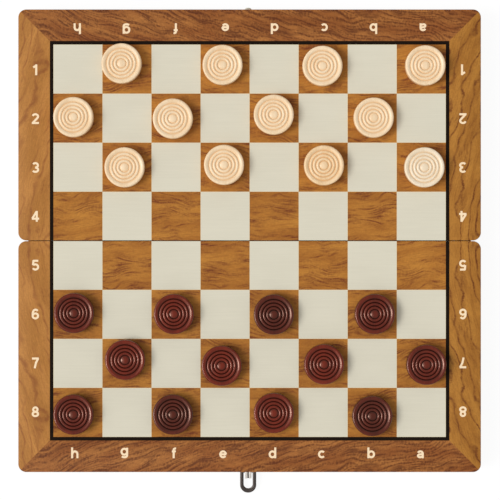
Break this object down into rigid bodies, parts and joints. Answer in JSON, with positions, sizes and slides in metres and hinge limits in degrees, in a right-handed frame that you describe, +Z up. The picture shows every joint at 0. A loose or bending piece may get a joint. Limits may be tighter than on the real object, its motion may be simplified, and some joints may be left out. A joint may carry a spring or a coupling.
{
  "type": "folding checkers set",
  "caption": "Wooden folding game box opened flat as a checkerboard, with inlaid squares, a mitred border, hinged storage trays, a hook-over latch and turned ring-top checkers set out for play",
  "frame": {"origin": "on the fold's axis, halfway along it, in the plane of the rims that the open board stands on", "axes": "+Z up, out of the playing surface; X along the fold, +X to the right of the player at the dark checkers' side; +Y away from that player, towards the far half with the pale checkers and the keeper"},
  "size_m": [0.35, 0.3723, 0.0348],
  "materials": {
    "pale_checker_wood": "lacquered, satin",
    "dark_checker_wood": "stained and lacquered, glossy",
    "pale_veneer": "satin lacquer",
    "golden_veneer": "satin lacquer",
    "black_inlay": "dyed, satin lacquer",
    "red_brown_veneer": "satin lacquer",
    "golden_border_veneer": "satin lacquer",
    "rail_wood": "satin lacquer",
    "panel_plywood": "sanded",
    "hinge_brass": "plain",
    "screw_steel": "plain",
    "dark_steel": "blackened, semi-gloss",
    "nickel": "nickel plated, polished",
    "pale_zinc": "plated, satin"
  },
  "bodies": {
    "near_half": {"hinge_left_near_leaf": "hinge_brass", "hinge_near_screws": "screw_steel", "hinge_right_near_leaf": "hinge_brass", "latch_plate": "nickel", "latch_screws": "screw_steel", "near_dark_squares": "golden_veneer", "near_front_border": "red_brown_veneer", "near_front_rail": "rail_wood", "near_hinge_rail": "rail_wood", "near_left_border": "golden_border_veneer", "near_left_rail": "rail_wood", "near_light_squares": "pale_veneer", "near_line": "black_inlay", "near_panel": "panel_plywood", "near_right_border": "golden_border_veneer", "near_right_rail": "rail_wood"},
    "far_half": {"far_back_border": "red_brown_veneer", "far_back_rail": "rail_wood", "far_dark_squares": "golden_veneer", "far_hinge_rail": "rail_wood", "far_left_border": "golden_border_veneer", "far_left_rail": "rail_wood", "far_light_squares": "pale_veneer", "far_line": "black_inlay", "far_panel": "panel_plywood", "far_right_border": "golden_border_veneer", "far_right_rail": "rail_wood", "hinge_far_screws": "screw_steel", "hinge_left_far_leaf": "hinge_brass", "hinge_left_pin": "hinge_brass", "hinge_right_far_leaf": "hinge_brass", "hinge_right_pin": "hinge_brass", "keeper_plate": "pale_zinc", "keeper_screws": "screw_steel"},
    "bail": {"latch_bail": "dark_steel"},
    "dark_checker_a7": {"dark_checker_a7": "dark_checker_wood"},
    "dark_checker_b6": {"dark_checker_b6": "dark_checker_wood"},
    "dark_checker_b8": {"dark_checker_b8": "dark_checker_wood"},
    "dark_checker_c7": {"dark_checker_c7": "dark_checker_wood"},
    "dark_checker_d6": {"dark_checker_d6": "dark_checker_wood"},
    "dark_checker_d8": {"dark_checker_d8": "dark_checker_wood"},
    "dark_checker_e7": {"dark_checker_e7": "dark_checker_wood"},
    "dark_checker_f6": {"dark_checker_f6": "dark_checker_wood"},
    "dark_checker_f8": {"dark_checker_f8": "dark_checker_wood"},
    "dark_checker_g7": {"dark_checker_g7": "dark_checker_wood"},
    "dark_checker_h6": {"dark_checker_h6": "dark_checker_wood"},
    "dark_checker_h8": {"dark_checker_h8": "dark_checker_wood"},
    "pale_checker_a1": {"pale_checker_a1": "pale_checker_wood"},
    "pale_checker_a3": {"pale_checker_a3": "pale_checker_wood"},
    "pale_checker_b2": {"pale_checker_b2": "pale_checker_wood"},
    "pale_checker_c1": {"pale_checker_c1": "pale_checker_wood"},
    "pale_checker_c3": {"pale_checker_c3": "pale_checker_wood"},
    "pale_checker_d2": {"pale_checker_d2": "pale_checker_wood"},
    "pale_checker_e1": {"pale_checker_e1": "pale_checker_wood"},
    "pale_checker_e3": {"pale_checker_e3": "pale_checker_wood"},
    "pale_checker_f2": {"pale_checker_f2": "pale_checker_wood"},
    "pale_checker_g1": {"pale_checker_g1": "pale_checker_wood"},
    "pale_checker_g3": {"pale_checker_g3": "pale_checker_wood"},
    "pale_checker_h2": {"pale_checker_h2": "pale_checker_wood"}
  },
  "joints": [
    {"name": "fold", "type": "hinge", "parent": "near_half", "child": "far_half", "pos_m": [0, 0, 0], "axis": [-1, 0, 0], "range_deg": [0, 180]},
    {"name": "bail_swing", "type": "hinge", "parent": "near_half", "child": "bail", "pos_m": [-0.0011, -0.1765, 0.0045], "axis": [1, 0, 0], "range_deg": [-101, 78]},
    {"name": "dark_checker_a7_lift", "type": "slide", "parent": "near_half", "child": "dark_checker_a7", "axis": [0, 0, 1], "range_m": [0, 0.03]},
    {"name": "dark_checker_b6_lift", "type": "slide", "parent": "near_half", "child": "dark_checker_b6", "axis": [0, 0, 1], "range_m": [0, 0.03]},
    {"name": "dark_checker_b8_lift", "type": "slide", "parent": "near_half", "child": "dark_checker_b8", "axis": [0, 0, 1], "range_m": [0, 0.03]},
    {"name": "dark_checker_c7_lift", "type": "slide", "parent": "near_half", "child": "dark_checker_c7", "axis": [0, 0, 1], "range_m": [0, 0.03]},
    {"name": "dark_checker_d6_lift", "type": "slide", "parent": "near_half", "child": "dark_checker_d6", "axis": [0, 0, 1], "range_m": [0, 0.03]},
    {"name": "dark_checker_d8_lift", "type": "slide", "parent": "near_half", "child": "dark_checker_d8", "axis": [0, 0, 1], "range_m": [0, 0.03]},
    {"name": "dark_checker_e7_lift", "type": "slide", "parent": "near_half", "child": "dark_checker_e7", "axis": [0, 0, 1], "range_m": [0, 0.03]},
    {"name": "dark_checker_f6_lift", "type": "slide", "parent": "near_half", "child": "dark_checker_f6", "axis": [0, 0, 1], "range_m": [0, 0.03]},
    {"name": "dark_checker_f8_lift", "type": "slide", "parent": "near_half", "child": "dark_checker_f8", "axis": [0, 0, 1], "range_m": [0, 0.03]},
    {"name": "dark_checker_g7_lift", "type": "slide", "parent": "near_half", "child": "dark_checker_g7", "axis": [0, 0, 1], "range_m": [0, 0.03]},
    {"name": "dark_checker_h6_lift", "type": "slide", "parent": "near_half", "child": "dark_checker_h6", "axis": [0, 0, 1], "range_m": [0, 0.03]},
    {"name": "dark_checker_h8_lift", "type": "slide", "parent": "near_half", "child": "dark_checker_h8", "axis": [0, 0, 1], "range_m": [0, 0.03]},
    {"name": "pale_checker_a1_lift", "type": "slide", "parent": "far_half", "child": "pale_checker_a1", "axis": [0, 0, 1], "range_m": [0, 0.03]},
    {"name": "pale_checker_a3_lift", "type": "slide", "parent": "far_half", "child": "pale_checker_a3", "axis": [0, 0, 1], "range_m": [0, 0.03]},
    {"name": "pale_checker_b2_lift", "type": "slide", "parent": "far_half", "child": "pale_checker_b2", "axis": [0, 0, 1], "range_m": [0, 0.03]},
    {"name": "pale_checker_c1_lift", "type": "slide", "parent": "far_half", "child": "pale_checker_c1", "axis": [0, 0, 1], "range_m": [0, 0.03]},
    {"name": "pale_checker_c3_lift", "type": "slide", "parent": "far_half", "child": "pale_checker_c3", "axis": [0, 0, 1], "range_m": [0, 0.03]},
    {"name": "pale_checker_d2_lift", "type": "slide", "parent": "far_half", "child": "pale_checker_d2", "axis": [0, 0, 1], "range_m": [0, 0.03]},
    {"name": "pale_checker_e1_lift", "type": "slide", "parent": "far_half", "child": "pale_checker_e1", "axis": [0, 0, 1], "range_m": [0, 0.03]},
    {"name": "pale_checker_e3_lift", "type": "slide", "parent": "far_half", "child": "pale_checker_e3", "axis": [0, 0, 1], "range_m": [0, 0.03]},
    {"name": "pale_checker_f2_lift", "type": "slide", "parent": "far_half", "child": "pale_checker_f2", "axis": [0, 0, 1], "range_m": [0, 0.03]},
    {"name": "pale_checker_g1_lift", "type": "slide", "parent": "far_half", "child": "pale_checker_g1", "axis": [0, 0, 1], "range_m": [0, 0.03]},
    {"name": "pale_checker_g3_lift", "type": "slide", "parent": "far_half", "child": "pale_checker_g3", "axis": [0, 0, 1], "range_m": [0, 0.03]},
    {"name": "pale_checker_h2_lift", "type": "slide", "parent": "far_half", "child": "pale_checker_h2", "axis": [0, 0, 1], "range_m": [0, 0.03]}
  ]
}
